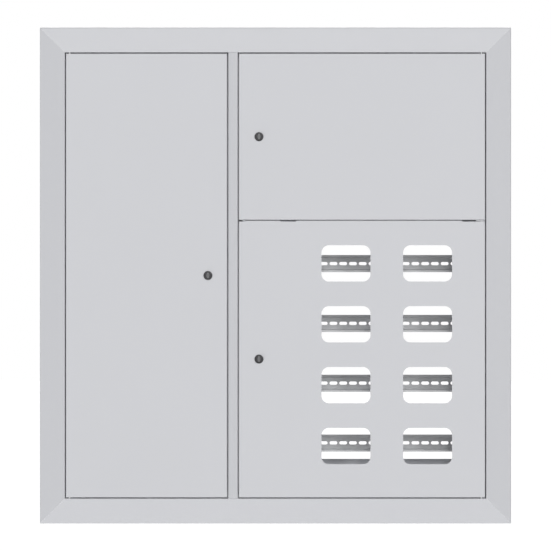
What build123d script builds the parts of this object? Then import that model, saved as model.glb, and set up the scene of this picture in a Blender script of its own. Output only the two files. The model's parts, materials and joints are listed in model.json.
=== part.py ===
from build123d import *
import os

# Recessed floor distribution board in folded sheet steel, without a back wall.
# X runs to the right, Y into the wall and Z up, in millimetres. The origin is the middle of
# the four anchor holes, on the rear plane of the carcass.

# Carcass and trim
carcass_width = 850.0
carcass_height = 900.0
board_depth = 150.0
niche_depth = 138.0
sheet = 1.2
bend_inside = 0.6
trim_overlap = 50.0
trim_slope = 9.0
trim_edge_inside = 2.0
mitre_gap = 0.2
lip_width = 14.0
rebate_depth = 20.0
side_flange = 30.0
rear_flange = 70.0
fold_room = 0.6
overrun = 1.0

# Anchor holes
anchor_hole_radius = 5.0
anchor_inset = 45.0

# Mullion, crossbar, partition and shelf
mullion_centre = -85.55
mullion_width = 19.3
mullion_ridge = 1.7
mullion_lip = 10.0
crossbar_centre = 111.2
crossbar_height = 30.0
crossbar_flange = 22.0
partition_front = 10.0
partition_flange = 20.0
partition_foot = 15.0
partition_hole_radius = 16.0
partition_hole_pitch = 125.0
shelf_rim = 20.0

# Cable openings
riser_cut_depth = 50.0
riser_cut_radius = 12.0
left_riser_width = 200.0
right_riser_width = 140.0
right_riser_pitch = 220.0
riser_front = 16.0
shelf_cut_width = 98.0
shelf_cut_depth = 51.0
shelf_cut_pitch = 150.0
shelf_cut_front = 22.0
shelf_cut_radius = 4.0

# Doors
door_depth = 17.0
door_gap = 2.2
middle_gap = 1.4
door_return = 12.0
corner_slit = 0.5
notch_depth = 2.0
hinge_notch = 46.6
rest_notch = 12.7
finger_notch_width = 31.0
finger_notch_from_edge = 83.7
finger_notch_reach = 10.0

# Windows of the lower door
window_width = 98.5
window_height = 73.0
window_radius = 15.0
window_column_pitch = 164.2
window_row_pitch = 122.5
window_side_margin = 66.35
window_bottom_margin = 67.0
window_columns = 2
window_rows = 4

# Hinges
pin_radius = 2.0
pin_fixed_clearance = 0.05
pin_running_clearance = 0.08
hinge_inset = 7.1
hinge_setback = 5.0
pin_reach = 6.0
pin_head_radius = 2.8
pin_head_height = 1.5
tab_thickness = 2.0
tab_left = 11.5
tab_right = 6.0
tab_setback = 1.8
rest_tab_width = 4.4
rest_tab_height = 2.6

# Locks
left_lock_inset = 38.5
right_lock_inset = 40.5
lock_face_radius = 9.0
lock_face_height = 2.0
lock_barrel_radius = 8.0
lock_flat = 7.0
lock_hole_clearance = 0.1
lock_face_chamfer = 0.5
nut_across_flats = 22.0
nut_height = 4.0
nut_clearance = 0.05
rotor_head_radius = 6.5
rotor_head_height = 4.0
rotor_shank_radius = 5.0
rotor_clearance = 0.08
rotor_sink = 0.5
rotor_boss_width = 5.6
rotor_boss_height = 11.6
rotor_boss_rise = 0.4
key_slot_width = 1.6
key_slot_height = 7.0
key_slot_depth = 2.5
cam_setback = 22.6
cam_thickness = 2.0
cam_width = 14.0
cam_reach = 39.0
cam_square = 6.0
cam_play = 0.3
cam_screw_head = 4.5
cam_screw_head_height = 2.8
cam_screw_radius = 2.4
cam_screw_length = 8.0
thread_clearance = 0.05

# DIN rails
rail_height = 35.0
rail_depth = 7.5
rail_lip = 3.8
rail_wall_lean = 2.3
rail_sheet = 1.0
rail_bend = 0.5
rail_slot_pitch = 20.0
rail_slot_length = 16.0
rail_slot_height = 6.6
meter_rail_slots = 8
meter_rail_pitch = 168.0
meter_rail_side_room = 27.0
breaker_rail_slots = 21
breaker_rail_side_room = 43.8
breaker_rail_pitch = 125.0
breaker_rail_top_room = 83.8

# Uprights behind the rails
upright_setback = 96.0
upright_width = 28.0
upright_flange = 20.0
upright_sheet = 1.5

# Small screws
screw_radius = 2.4
screw_head_radius = 4.5
screw_head_height = 2.4
screw_length = 9.0

# Neutral and earth bars
bar_terminals = 8
bar_pitch = 14.0
bar_end = 16.0
bar_height = 12.0
bar_thickness = 10.0
bar_wire_radius = 2.8
bar_screw_radius = 2.3
bar_screw_head_radius = 3.4
bar_screw_head_height = 2.2
insulator_radius = 9.0
insulator_height = 26.0
standoff_radius = 6.0
bar_setback = 34.0
bar_spacing = 190.0

# Mounting plate of the communications compartment
plate_width = 260.0
plate_height = 620.0
plate_sheet = 1.5
plate_foot = 22.0
plate_rise = 12.0
plate_slot_width = 52.0
plate_slot_height = 9.0
plate_slot_columns = 3
plate_slot_rows = 8
plate_setback = 110.0
strip_height = 30.0
strip_flange = 15.0

# Earth studs
stud_radius = 3.0
stud_length = 15.0
stud_nut_flats = 10.0
stud_nut_height = 5.0
stud_washer_radius = 6.0
stud_washer_height = 1.2
stud_inset = 30.0
frame_stud_height = 60.0

# Planes that the pieces share
inner_x = carcass_width / 2 - sheet
outer_x = carcass_width / 2
inner_z = carcass_height / 2 - sheet
outer_z = carcass_height / 2
front = -board_depth
stop_front = front + rebate_depth
stop_back = stop_front + sheet
wall_lip_back = stop_back + sheet
door_back = front + door_depth
door_x = inner_x - door_gap
door_z = inner_z - door_gap
mullion_left = mullion_centre - mullion_width / 2
mullion_right = mullion_centre + mullion_width / 2
left_door_right = mullion_left - door_gap
right_door_left = mullion_right + door_gap
upper_door_low = crossbar_centre + middle_gap / 2
lower_door_high = crossbar_centre - middle_gap / 2
crossbar_low = crossbar_centre - crossbar_height / 2
crossbar_high = crossbar_centre + crossbar_height / 2
crossbar_left = mullion_right + mullion_lip
partition_left = mullion_left + sheet
partition_right = partition_left + sheet
shelf_low = crossbar_low + sheet
shelf_high = shelf_low + sheet
notch_low = lower_door_high - notch_depth
hinge_x = door_x - hinge_inset
hinge_y = front + hinge_setback
cam_front = front + cam_setback
anchor_x = outer_x - anchor_inset
anchor_z = outer_z - rear_flange / 2
upright_front = front + upright_setback
upright_back = upright_front + upright_flange
right_middle = (partition_right + inner_x) / 2
left_middle = (partition_left - inner_x) / 2
lowest_window_z = -door_z + window_bottom_margin + window_height / 2
window_rows_z = [lowest_window_z + row * window_row_pitch for row in range(window_rows)]

level_plane = Plane(origin=(0, 0, 0), x_dir=(0, 0, 1), z_dir=(-1, 0, 0))


def block(left, right, near, far, low, high):
    """Straight block between six planes."""
    size = (right - left, far - near, high - low)
    middle = ((left + right) / 2, (near + far) / 2, (low + high) / 2)
    return Pos(*middle) * Box(*size)


def bar_along_y(x, z, near, far, radius):
    """Round bar that points into the wall."""
    return Pos(x, (near + far) / 2, z) * Rot(90, 0, 0) * Cylinder(radius, far - near)


def bar_along_z(x, y, low, high, radius):
    """Round upright bar."""
    return Pos(x, y, (low + high) / 2) * Cylinder(radius, high - low)


def bar_along_x(y, z, left, right, radius):
    """Round bar from left to right."""
    return Pos((left + right) / 2, y, z) * Rot(0, 90, 0) * Cylinder(radius, right - left)


def folded_section(path, bends, thickness):
    """Section of a folded sheet. Its face side follows path and the metal lies to its left."""
    points = [Vector(u, v, 0) for u, v in path]
    runs = [(b - a).normalized() for a, b in zip(points, points[1:])]
    lefts = [Vector(-run.Y, run.X, 0) for run in runs]
    back = [points[0] + lefts[0] * thickness]
    face_radii = []
    back_radii = []
    for corner, before, after, bend in zip(points[1:], lefts, lefts[1:], bends):
        back.append(corner + (before + after) * (thickness / (1 + before.dot(after))))
        turns_left = before.cross(after).Z > 0
        face_radii.append(bend + thickness if turns_left else bend)
        back_radii.append(bend if turns_left else bend + thickness)
    back.append(points[-1] + lefts[-1] * thickness)
    radii = [0] + face_radii + [0, 0] + back_radii[::-1] + [0]
    outline = FilletPolyline(*points, *back[::-1], radius=radii, close=True)
    return make_face(outline)


def upright_sheet_part(path, bends, low, high, thickness=sheet):
    """Folded sheet whose section is given in X and Y and which runs along Z."""
    section = folded_section(path, bends, thickness)
    return Pos(0, 0, low) * extrude(section, high - low, dir=(0, 0, 1))


def level_sheet_part(path, bends, left, right, thickness=sheet):
    """Folded sheet whose section is given in Z and Y and which runs along X."""
    section = level_plane * folded_section(path, bends, thickness)
    return Pos(left, 0, 0) * extrude(section, right - left, dir=(1, 0, 0))


def mitre_block(half_length, half_across, stands):
    """Block that cuts both ends of a trim member at 45 degrees."""
    inside = -lip_width - sheet
    outside = trim_overlap + 2 * sheet
    end = half_length - mitre_gap / 2
    corners = [
        (-end - outside, half_across + outside),
        (end + outside, half_across + outside),
        (end + inside, half_across + inside),
        (-end - inside, half_across + inside),
    ]
    if stands:
        corners = [(across, along) for along, across in corners]
    outline = Plane.XZ * make_face(Polyline(*corners, close=True))
    return extrude(outline, 2 * board_depth, both=True)


def trim_path(half_opening):
    """Stop lip, door rebate, sloping face and outer edge, from the opening outwards."""
    outer = half_opening + sheet + trim_overlap
    return [
        (half_opening - lip_width, stop_front),
        (half_opening, stop_front),
        (half_opening, front),
        (outer, front + trim_slope),
        (outer, -niche_depth),
    ]


trim_bends = [bend_inside, bend_inside, trim_edge_inside]


def make_trim_top():
    reach = outer_x + trim_overlap
    member = level_sheet_part(trim_path(inner_z), trim_bends, -reach, reach)
    member = member & mitre_block(inner_x, inner_z, False)
    for x in (-hinge_x, hinge_x):
        hole = pin_radius + pin_fixed_clearance
        member -= bar_along_z(x, hinge_y, inner_z - sheet, outer_z + sheet, hole)
    return member


def make_trim_right():
    reach = outer_z + trim_overlap
    member = upright_sheet_part(trim_path(inner_x), trim_bends, -reach, reach)
    return member & mitre_block(inner_z, inner_x, True)


def make_right_side_wall():
    """Side wall with a stop lip in front and an anchor flange behind."""
    path = [
        (inner_x - lip_width, stop_back),
        (outer_x, stop_back),
        (outer_x, 0),
        (outer_x - side_flange, 0),
    ]
    wall = upright_sheet_part(path, [bend_inside] * 2, -outer_z, outer_z)
    flange_end = outer_z - rear_flange
    for low, high in ((flange_end, outer_z), (-outer_z, -flange_end)):
        wall -= block(outer_x - side_flange - overrun, inner_x, -sheet - fold_room, overrun, low, high)
    return wall


def riser_cuts(low, high):
    """Rounded cable openings through the top or bottom wall."""
    y = wall_lip_back + riser_front + riser_cut_depth / 2
    cuts = []
    places = [
        (left_middle, left_riser_width),
        (right_middle - right_riser_pitch / 2, right_riser_width),
        (right_middle + right_riser_pitch / 2, right_riser_width),
    ]
    for x, width in places:
        shape = RectangleRounded(width, riser_cut_depth, riser_cut_radius)
        cuts.append(extrude(Pos(x, y, low) * shape, high - low, dir=(0, 0, 1)))
    return cuts


def make_top_wall():
    """Top wall between the side walls, with its anchor flange and cable openings."""
    path = [
        (inner_z - lip_width, stop_back),
        (outer_z, stop_back),
        (outer_z, 0),
        (outer_z - rear_flange, 0),
    ]
    wall = level_sheet_part(path, [bend_inside] * 2, -inner_x, inner_x)
    lip_end = inner_x - lip_width
    for left, right in ((-inner_x - overrun, -lip_end), (lip_end, inner_x + overrun)):
        cut_back = wall_lip_back + fold_room
        wall -= block(left, right, front, cut_back, inner_z - rear_flange, outer_z + overrun)
    for x in (-anchor_x, anchor_x):
        wall -= bar_along_y(x, anchor_z, -2 * sheet, sheet, anchor_hole_radius)
    for cut in riser_cuts(inner_z - overrun, outer_z + overrun):
        wall -= cut
    return wall


def make_mullion():
    """Post between the left and right doors, with a shallow ridge in front and a lip each side."""
    path = [
        (mullion_left - mullion_lip, stop_front),
        (mullion_left, stop_front),
        (mullion_left, front + mullion_ridge),
        (mullion_centre, front),
        (mullion_right, front + mullion_ridge),
        (mullion_right, stop_front),
        (mullion_right + mullion_lip, stop_front),
    ]
    post = upright_sheet_part(path, [bend_inside] * 5, -inner_z, inner_z)
    ends = inner_z - lip_width
    for low, high in ((ends, inner_z + overrun), (-inner_z - overrun, -ends)):
        cut_front = stop_front - fold_room
        post -= block(mullion_left - lip_width, mullion_right + lip_width, cut_front, 0, low, high)
    return post


def make_partition():
    """Plate from the mullion to the rear, between the left and right compartments."""
    path = [
        (partition_left + partition_flange, 0),
        (partition_left, 0),
        (partition_left, front + partition_front),
    ]
    plate = upright_sheet_part(path, [bend_inside], -inner_z, inner_z)
    lips = inner_z - lip_width
    flanges = outer_z - rear_flange
    wide = partition_flange + sheet
    cut_left = partition_left - overrun
    cut_right = partition_left + wide
    foot_front = wall_lip_back + 2 * fold_room
    foot_right = partition_left + partition_foot
    for side in (1, -1):
        low, high = sorted((side * lips, side * (inner_z + overrun)))
        plate -= block(cut_left, cut_right, front, wall_lip_back + fold_room, low, high)
        low, high = sorted((side * flanges, side * (inner_z + overrun)))
        plate -= block(cut_left, cut_right, -sheet - fold_room, overrun, low, high)
        low, high = sorted((side * (inner_z - sheet), side * inner_z))
        plate += block(partition_left, foot_right, foot_front, -upright_flange, low, high)
    hole_y = (wall_lip_back - sheet) / 2
    for step in (-2, -1, 0, 2):
        hole_z = step * partition_hole_pitch
        plate -= bar_along_x(hole_y, hole_z, cut_left, cut_right, partition_hole_radius)
    return plate


def make_crossbar():
    """Channel between the upper and lower doors, with a small rest tab in their gap."""
    path = [
        (crossbar_low, stop_front + crossbar_flange),
        (crossbar_low, stop_front),
        (crossbar_high, stop_front),
        (crossbar_high, stop_front + crossbar_flange),
    ]
    bar = level_sheet_part(path, [bend_inside] * 2, crossbar_left, inner_x - lip_width)
    tab_right = crossbar_left + rest_tab_width
    tab_low = (notch_low + upper_door_low - rest_tab_height) / 2
    tab_high = tab_low + rest_tab_height
    return bar + block(crossbar_left, tab_right, front, stop_back, tab_low, tab_high)


def make_shelf():
    """Tray between the upper and the meter compartment, which rests on the crossbar."""
    rim_front = -2 * sheet - fold_room
    path = [
        (shelf_high, wall_lip_back + fold_room),
        (shelf_high, rim_front),
        (shelf_high + shelf_rim, rim_front),
    ]
    tray = level_sheet_part(path, [bend_inside], partition_right, inner_x)
    near = wall_lip_back + 2 * fold_room
    far = rim_front - sheet
    rim_top = shelf_high + shelf_rim
    tray += block(partition_right, partition_right + sheet, near, far, shelf_low, rim_top)
    tray += block(inner_x - sheet, inner_x, near, far, shelf_low, rim_top)
    y = wall_lip_back + shelf_cut_front + shelf_cut_depth / 2
    for step in (-1, 0, 1):
        shape = RectangleRounded(shelf_cut_width, shelf_cut_depth, shelf_cut_radius)
        place = Pos(right_middle + step * shelf_cut_pitch, y, shelf_low - overrun)
        tray -= extrude(place * shape, shelf_rim, dir=(0, 0, 1))
    return tray


def rounded_tray(left, right, low, high, inset):
    """Solid of a door's outer or inner skin, with its long edges rounded."""
    near = front + inset
    far = door_back - inset
    radius = bend_inside + sheet - inset
    solid = block(left + inset, right - inset, near, far, low + inset, high - inset)
    upright = solid.edges().filter_by(Axis.Z)
    level = solid.edges().filter_by(Axis.X).group_by(Axis.Y)[0]
    return fillet(upright + level, radius)


def make_door_tray(left, right, low, high):
    """Door folded from one sheet: four walls round the face, and a return on the long sides."""
    tray = rounded_tray(left, right, low, high, 0) - rounded_tray(left, right, low, high, sheet)
    far = door_back + overrun
    return_left = left + door_return
    return_right = right - door_return
    tray -= block(return_left, return_right, door_back - 2 * sheet, far, low + sheet, high - sheet)
    slit_front = front + bend_inside + sheet
    slit_height = sheet + overrun
    for slit_left in (left + sheet, right - sheet - corner_slit):
        for slit_low in (low - overrun, high - sheet):
            slit_right = slit_left + corner_slit
            tray -= block(slit_left, slit_right, slit_front, far, slit_low, slit_low + slit_height)
    return tray


def lock_blank(x, z, near, far, grow):
    """Round bar with a flat on each side, as on the lock's barrel and in its hole."""
    bar = bar_along_y(x, z, near, far, lock_barrel_radius + grow)
    half = lock_flat + grow
    return bar & block(x - half, x + half, near, far, z - 2 * half, z + 2 * half)


def pin_hole(x, low, high):
    return bar_along_z(x, hinge_y, low, high, pin_radius + pin_running_clearance)


def make_plain_door(left, right, low, high, pin_x, lock_x):
    """Door tray with its lock hole and the two holes that it hangs by."""
    door = make_door_tray(left, right, low, high)
    lock_z = (low + high) / 2
    door -= lock_blank(lock_x, lock_z, front - overrun, front + 2 * sheet, lock_hole_clearance)
    door -= pin_hole(pin_x, high - 2 * sheet, high + overrun)
    door -= pin_hole(pin_x, low - overrun, low + 2 * sheet)
    return door


def window_centres():
    """Middles of the windows of the lower door, from its lower right corner."""
    centres = []
    for column in range(window_columns):
        x = door_x - window_side_margin - window_width / 2 - column * window_column_pitch
        centres += [(x, z) for z in window_rows_z]
    return centres


def make_lower_door():
    """Door of the meter compartment, with its windows and the notches in its top edge."""
    low = -door_z
    top = lower_door_high + overrun
    near = front - overrun
    far = door_back + overrun
    door = make_door_tray(right_door_left, door_x, low, lower_door_high)
    lock_x, lock_z = lower_lock
    door -= lock_blank(lock_x, lock_z, near, front + 2 * sheet, lock_hole_clearance)
    for x, z in window_centres():
        shape = Plane.XZ * Pos(x, z) * RectangleRounded(window_width, window_height, window_radius)
        door -= extrude(Pos(0, front + sheet / 2, 0) * shape, 2 * sheet, both=True)
    finger_left = right_door_left + finger_notch_from_edge
    finger_right = finger_left + finger_notch_width
    door -= block(finger_left, finger_right, near, front + finger_notch_reach, notch_low, top)
    rest_right = right_door_left + rest_notch
    hinge_left = door_x - hinge_notch
    door -= block(right_door_left - overrun, rest_right, near, far, notch_low, top)
    door -= block(hinge_left, door_x + overrun, near, far, notch_low, top)
    half = sheet / 2
    flange_low = notch_low - sheet
    door += block(right_door_left + half, rest_right, front + half, door_back, flange_low, notch_low)
    door += block(hinge_left, door_x - half, front + half, door_back, flange_low, notch_low)
    door -= pin_hole(hinge_x, flange_low - overrun, notch_low + overrun)
    door -= pin_hole(hinge_x, low - overrun, low + 2 * sheet)
    return door


def make_frame_pin(x, top):
    """Headed pin through the trim into a door's top or bottom flange."""
    shank = bar_along_z(x, hinge_y, door_z - pin_reach, outer_z, pin_radius)
    head = bar_along_z(x, hinge_y, outer_z, outer_z + pin_head_height, pin_head_radius)
    pin = shank + head
    return pin if top else mirror(pin, about=Plane.XY)


def tab_levels():
    """Lower and upper face of the hinge tab, in the middle of its gap."""
    low = (notch_low + upper_door_low - tab_thickness) / 2
    return low, low + tab_thickness


def make_centre_tab():
    """Plate welded across the crossbar and the trim, which carries the middle hinge pin."""
    low, high = tab_levels()
    tab = block(hinge_x - tab_left, hinge_x + tab_right, front + tab_setback, stop_front, low, high)
    tab = fillet(tab.edges().filter_by(Axis.Z).group_by(Axis.Y)[0], tab_right / 3)
    hole = pin_radius + pin_fixed_clearance
    return tab - bar_along_z(hinge_x, hinge_y, low - overrun, high + overrun, hole)


def make_centre_pin():
    """Plain pin that carries both right-hand doors."""
    low = notch_low - sheet - pin_reach
    high = upper_door_low + sheet + pin_reach
    return bar_along_z(hinge_x, hinge_y, low, high, pin_radius)


left_lock = (left_door_right - left_lock_inset, 0.0)
upper_lock = (right_door_left + right_lock_inset, (upper_door_low + door_z) / 2)
lower_lock = (right_door_left + right_lock_inset, (lower_door_high - door_z) / 2)


def make_lock_body(x, z):
    """Flanged barrel with two flats, bored for the rotor."""
    face_front = front - lock_face_height
    flange = bar_along_y(x, z, face_front, front, lock_face_radius)
    flange = chamfer(flange.edges().group_by(Axis.Y)[0], lock_face_chamfer)
    body = flange + lock_blank(x, z, front, cam_front - cam_play, 0)
    head_seat = face_front + rotor_sink + rotor_head_height
    body -= bar_along_y(x, z, face_front - overrun, head_seat, rotor_head_radius + rotor_clearance)
    body -= bar_along_y(x, z, head_seat - overrun, cam_front, rotor_shank_radius + rotor_clearance)
    return body


def make_lock_nut(x, z):
    """Flat hexagon nut that clamps the lock to the door."""
    near = front + sheet
    hexagon = RegularPolygon(nut_across_flats / 2, 6, major_radius=False)
    nut = extrude(Pos(x, near, z) * Rot(-90, 0, 0) * hexagon, nut_height, dir=(0, 1, 0))
    bore = lock_barrel_radius + nut_clearance
    return nut - bar_along_y(x, z, near - overrun, near + nut_height + overrun, bore)


def make_lock_rotor(x, z):
    """Turning core of the lock, with its key boss in front and a square tail for the cam."""
    head_front = front - lock_face_height + rotor_sink
    head_back = head_front + rotor_head_height
    rotor = bar_along_y(x, z, head_front, head_back, rotor_head_radius)
    rotor += bar_along_y(x, z, head_back, cam_front, rotor_shank_radius)
    half = cam_square / 2
    rotor += block(x - half, x + half, cam_front, cam_front + cam_thickness, z - half, z + half)
    boss = Plane.XZ * Pos(x, z) * Rot(0, 0, 90) * SlotOverall(rotor_boss_height, rotor_boss_width)
    rotor += extrude(Pos(0, head_front, 0) * boss, rotor_boss_rise, dir=(0, -1, 0))
    slot_back = head_front - rotor_boss_rise + key_slot_depth
    across = key_slot_width / 2
    along = key_slot_height / 2
    rotor -= block(x - across, x + across, head_front - overrun, slot_back, z - along, z + along)
    tail = cam_front + cam_thickness
    bore = cam_screw_radius + thread_clearance
    rotor -= bar_along_y(x, z, tail - cam_screw_length - overrun, tail + overrun, bore)
    return rotor


def make_lock_cam(x, z):
    """Flat finger on the rotor's tail. It points up when the lock is open."""
    far = cam_front + cam_thickness
    finger = block(x - cam_width / 2, x + cam_width / 2, cam_front, far, z, z + cam_reach)
    tip = finger.edges().filter_by(Axis.Y).group_by(Axis.Z)[-1]
    finger = fillet(tip, cam_width / 3)
    cam = finger + bar_along_y(x, z, cam_front, far, cam_width / 2)
    half = cam_square / 2 + thread_clearance
    return cam - block(x - half, x + half, cam_front - overrun, far + overrun, z - half, z + half)


def make_cam_screw(x, z):
    """Round-headed screw that holds the cam."""
    near = cam_front + cam_thickness
    head = bar_along_y(x, z, near, near + cam_screw_head_height, cam_screw_head)
    head = chamfer(head.edges().group_by(Axis.Y)[-1], lock_face_chamfer)
    return head + bar_along_y(x, z, near - cam_screw_length, near, cam_screw_radius)


def rail_path(z):
    """Top-hat section of a DIN rail, open to the front, with walls that lean in to the web."""
    lip_front = upright_front - rail_depth
    web_front = upright_front - rail_sheet
    tip = rail_height / 2
    root = tip - rail_lip
    web = root - rail_wall_lean
    return [
        (z - tip, lip_front),
        (z - root, lip_front),
        (z - web, web_front),
        (z + web, web_front),
        (z + root, lip_front),
        (z + tip, lip_front),
    ]


def make_rail(x, z, slots):
    """DIN rail with a row of long slots, centred on x."""
    half = slots * rail_slot_pitch / 2
    rail = level_sheet_part(rail_path(z), [rail_bend] * 4, x - half, x + half, rail_sheet)
    outline = Plane.XZ * SlotOverall(rail_slot_length, rail_slot_height)
    first = x - half + rail_slot_pitch / 2
    for step in range(slots):
        place = Pos(first + step * rail_slot_pitch, upright_front, z)
        rail -= extrude(place * outline, 2 * rail_sheet, both=True)
    return rail


meter_rail_half = meter_rail_slots * rail_slot_pitch / 2
meter_end_slot = meter_rail_half - rail_slot_pitch / 2
meter_rail_right = inner_x - meter_rail_side_room - meter_rail_half
meter_rail_columns = [meter_rail_right - meter_rail_pitch, meter_rail_right]
breaker_rail_half = breaker_rail_slots * rail_slot_pitch / 2
breaker_end_slot = breaker_rail_half - rail_slot_pitch / 2
breaker_rail_centre = inner_x - breaker_rail_side_room - breaker_rail_half
breaker_rail_rows = [inner_z - breaker_rail_top_room - breaker_rail_pitch * row for row in range(2)]


def make_upright(left, right, low, high, screw_places):
    """Channel that stands behind the rails, closed by a foot at each end."""
    path = [
        (left, upright_back),
        (left, upright_front),
        (right, upright_front),
        (right, upright_back),
    ]
    post = upright_sheet_part(path, [bend_inside] * 2, low, high, upright_sheet)
    half = upright_sheet / 2
    near = upright_front + half
    for foot in (low, high - upright_sheet):
        post += block(left + half, right - half, near, upright_back, foot, foot + upright_sheet)
    hole = screw_radius + thread_clearance
    for x, z in screw_places:
        post -= bar_along_y(x, z, upright_front - overrun, upright_front + 2 * upright_sheet, hole)
    return post


def make_screw(x, y, z):
    """Flat-headed screw that points into the wall, with its head seated at y."""
    head = bar_along_y(x, z, y - screw_head_height, y, screw_head_radius)
    return head + bar_along_y(x, z, y, y + screw_length, screw_radius)


def meter_screw_places(column):
    """Screws through the two end slots of the rails of one column."""
    x = meter_rail_columns[column]
    ends = (x - meter_end_slot, x + meter_end_slot)
    return [[(end, z) for z in window_rows_z] for end in ends]


breaker_screw_places = [
    [(breaker_rail_centre + side * breaker_end_slot, z) for z in breaker_rail_rows] for side in (-1, 1)
]

bar_half = bar_terminals * bar_pitch / 2 + bar_end
bar_y = -bar_setback
bar_middles = [breaker_rail_centre - bar_spacing / 2, breaker_rail_centre + bar_spacing / 2]
bar_low = shelf_high + insulator_height
bar_high = bar_low + bar_height


def terminal_places(middle):
    first = middle - bar_terminals * bar_pitch / 2 + bar_pitch / 2
    return [first + step * bar_pitch for step in range(bar_terminals)]


def bar_ends(middle):
    """Places of the two supports of a bar."""
    shift = bar_half - bar_end / 2
    return (middle - shift, middle + shift)


def make_terminal_bar(middle):
    """Terminal bar with a wire hole and a clamping screw hole for each terminal."""
    near = bar_y - bar_thickness / 2
    far = bar_y + bar_thickness / 2
    bar = block(middle - bar_half, middle + bar_half, near, far, bar_low, bar_high)
    bore = bar_screw_radius + thread_clearance
    wire_z = bar_low + bar_height / 3
    for x in terminal_places(middle):
        bar -= bar_along_y(x, wire_z, near - overrun, far + overrun, bar_wire_radius)
        bar -= bar_along_z(x, bar_y, wire_z, bar_high + overrun, bore)
    for x in bar_ends(middle):
        bar -= bar_along_z(x, bar_y, bar_low - overrun, bar_high + overrun, bore)
    return bar


def make_bar_supports(middle, radius):
    """Two posts that stand on the shelf under the ends of a bar."""
    posts = []
    tapped = bar_low - insulator_height / 2
    bore = bar_screw_radius + thread_clearance
    for x in bar_ends(middle):
        post = bar_along_z(x, bar_y, shelf_high, bar_low, radius)
        posts.append(post - bar_along_z(x, bar_y, tapped, bar_low + overrun, bore))
    return posts


def make_bar_screws(middle):
    """Clamping screws of a bar and the longer screws in its ends."""
    screws = []
    wire_top = bar_low + bar_height / 3 + bar_wire_radius
    tails = [(x, wire_top) for x in terminal_places(middle)]
    tails += [(x, bar_low - insulator_height / 3) for x in bar_ends(middle)]
    for x, tail in tails:
        head = bar_along_z(x, bar_y, bar_high, bar_high + bar_screw_head_height, bar_screw_head_radius)
        screws.append(head + bar_along_z(x, bar_y, tail, bar_high, bar_screw_radius))
    return screws


plate_foot_front = front + plate_setback
plate_face = plate_foot_front - plate_rise
strip_front = plate_foot_front + plate_sheet
strip_rows = [-plate_height / 2 + strip_height, plate_height / 2 - strip_height]
plate_screw_reach = (plate_width - plate_foot) / 2
plate_screw_columns = [left_middle - plate_screw_reach, left_middle + plate_screw_reach]
plate_screw_places = [(x, z) for x in plate_screw_columns for z in strip_rows]


def make_mounting_plate():
    """Slotted plate for communications equipment, raised from its two screwed feet."""
    left = left_middle - plate_width / 2
    right = left_middle + plate_width / 2
    face_left = left + plate_foot
    face_right = right - plate_foot
    path = [
        (left, plate_foot_front),
        (face_left, plate_foot_front),
        (face_left, plate_face),
        (face_right, plate_face),
        (face_right, plate_foot_front),
        (right, plate_foot_front),
    ]
    low = -plate_height / 2
    plate = upright_sheet_part(path, [bend_inside] * 4, low, -low, plate_sheet)
    step_x = (face_right - face_left) / plate_slot_columns
    step_z = plate_height / plate_slot_rows
    slot = Rectangle(plate_slot_width, plate_slot_height)
    for column in range(plate_slot_columns):
        for row in range(plate_slot_rows):
            x = face_left + step_x * (column + 0.5)
            z = low + step_z * (row + 0.5)
            place = Pos(x, plate_face, z) * Plane.XZ
            plate -= extrude(place * slot, 2 * plate_sheet, both=True)
    hole = screw_radius + thread_clearance
    for x, z in plate_screw_places:
        plate -= bar_along_y(x, z, plate_foot_front - overrun, strip_front + overrun, hole)
    return plate


def make_plate_strip(z):
    """Channel across the communications compartment, which carries the mounting plate."""
    path = [
        (z - strip_height / 2, strip_front + strip_flange),
        (z - strip_height / 2, strip_front),
        (z + strip_height / 2, strip_front),
        (z + strip_height / 2, strip_front + strip_flange),
    ]
    strip = level_sheet_part(path, [bend_inside] * 2, -inner_x, partition_left)
    hole = screw_radius + thread_clearance
    for x in plate_screw_columns:
        strip -= bar_along_y(x, z, strip_front - overrun, strip_front + 2 * sheet, hole)
    return strip


def make_earth_stud(seat, direction):
    """Welded stud with its washer and nut, pointing along direction from its seat."""
    place = Plane(origin=seat, z_dir=direction)
    stud = place * Pos(0, 0, stud_length / 2) * Cylinder(stud_radius, stud_length)
    hole = Cylinder(stud_radius + thread_clearance, 4 * stud_nut_height)
    washer_low = stud_length / 3
    nut_low = washer_low + stud_washer_height
    washer = Cylinder(stud_washer_radius, stud_washer_height)
    washer = Pos(0, 0, washer_low + stud_washer_height / 2) * washer
    hexagon = RegularPolygon(stud_nut_flats / 2, 6, major_radius=False)
    nut = Pos(0, 0, nut_low) * extrude(hexagon, stud_nut_height, dir=(0, 0, 1))
    return [stud, place * (washer - hole), place * (nut - hole)]


nodes = {}


def add(name, *solids):
    """Keeps one named piece, or a group of like pieces, to be written."""
    parts = []
    for solid in solids:
        parts += solid.solids()
    nodes[name] = parts[0] if len(parts) == 1 else Compound(children=parts)


def add_frame():
    top = make_trim_top()
    right = make_trim_right()
    add("trim_top", top)
    add("trim_bottom", mirror(top, about=Plane.XY))
    add("trim_right", right)
    add("trim_left", mirror(right, about=Plane.YZ))
    wall = make_right_side_wall()
    add("right_side_wall", wall)
    add("left_side_wall", mirror(wall, about=Plane.YZ))
    lid = make_top_wall()
    add("top_wall", lid)
    add("bottom_wall", mirror(lid, about=Plane.XY))
    add("mullion", make_mullion())
    add("partition_plate", make_partition())
    add("crossbar", make_crossbar())
    add("shelf_plate", make_shelf())


def add_hinges():
    corners = [(x, top) for x in (-hinge_x, hinge_x) for top in (True, False)]
    add("frame_hinge_pins", *[make_frame_pin(x, top) for x, top in corners])
    add("centre_hinge_tab", make_centre_tab())
    add("centre_hinge_pin", make_centre_pin())


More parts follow.
